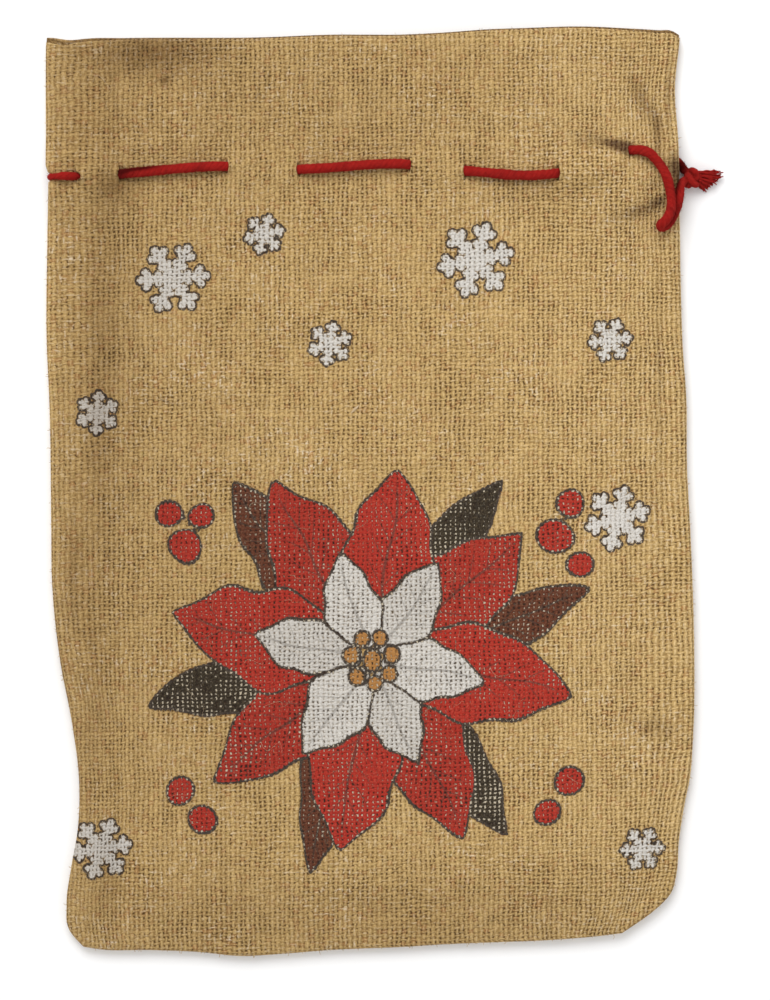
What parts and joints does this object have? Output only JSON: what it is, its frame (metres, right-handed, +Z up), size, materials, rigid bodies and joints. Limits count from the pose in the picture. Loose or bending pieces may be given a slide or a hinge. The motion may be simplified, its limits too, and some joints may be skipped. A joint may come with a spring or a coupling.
{
  "type": "burlap drawstring sack",
  "caption": "Empty burlap sack lying flat on its back, with a wool drawstring threaded below its open mouth and a printed winter flower on its face.",
  "frame": {"origin": "on the ground under the middle of the sack's outline, cord left out", "axes": "+Y from the foot to the mouth, +Z up, out of the printed face, +X to the right of someone who looks at that face with the mouth at the top"},
  "size_m": [0.3734, 0.5112, 0.022],
  "materials": {
    "burlap_front": "coarse plain-woven jute with a matt print of a flower and snowflakes",
    "burlap_back": "coarse plain-woven jute, matt, with slubs and loose fibres",
    "wool": "soft felted red wool yarn, loosely twisted and fuzzy"
  },
  "bodies": {
    "root": {"front_panel": "burlap_front", "back_panel": "burlap_back", "drawstring": "wool", "knot": "wool", "tail": "wool"}
  },
  "joints": []
}
